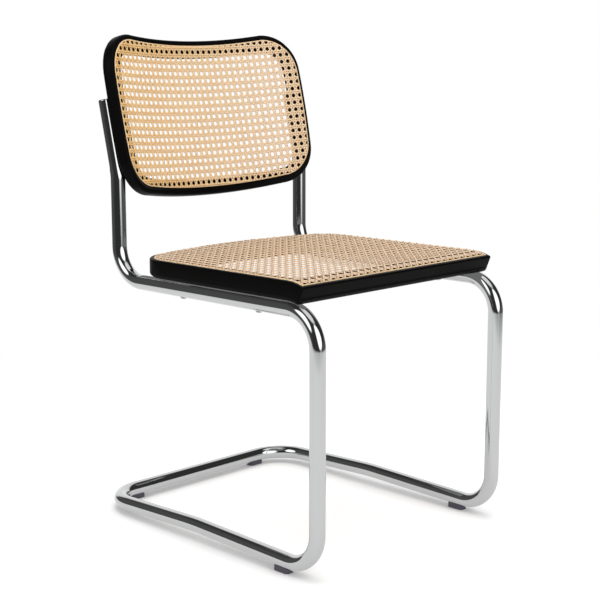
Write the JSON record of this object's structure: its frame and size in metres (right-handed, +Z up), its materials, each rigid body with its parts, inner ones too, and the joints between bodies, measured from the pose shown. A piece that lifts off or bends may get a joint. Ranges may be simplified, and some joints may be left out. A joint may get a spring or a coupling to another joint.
{
  "type": "cantilever chair",
  "caption": "Armless cantilever chair: one bent chromed tube carries a seat and a curved back, both of woven cane in black wooden frames.",
  "frame": {"origin": "On the floor, under the middle of the chair's bounding box.", "axes": "+Z is up, +X runs across the chair to the right as seen from the front, and the sitter faces -Y."},
  "size_m": [0.4564, 0.5524, 0.8198],
  "materials": {
    "chrome_tube": "polished",
    "black_wood": "satin black lacquer",
    "beech_tenon": "matte",
    "cane": "natural",
    "reed": "natural",
    "steel_screw": "satin",
    "glide": "matte"
  },
  "bodies": {
    "root": {"tube_frame": "chrome_tube", "seat_front_rail": "black_wood", "seat_rear_rail": "black_wood", "seat_left_rail": "black_wood", "seat_right_rail": "black_wood", "seat_corner_tenons": "beech_tenon", "seat_cane": "cane", "seat_spline": "reed", "back_top_rail": "black_wood", "back_bottom_rail": "black_wood", "back_left_stile": "black_wood", "back_right_stile": "black_wood", "back_corner_tenons": "beech_tenon", "back_cane": "cane", "back_spline": "reed", "seat_screws": "steel_screw", "back_screws": "steel_screw", "glide_front_left": "glide", "glide_front_right": "glide", "glide_rear_left": "glide", "glide_rear_right": "glide"}
  },
  "joints": []
}
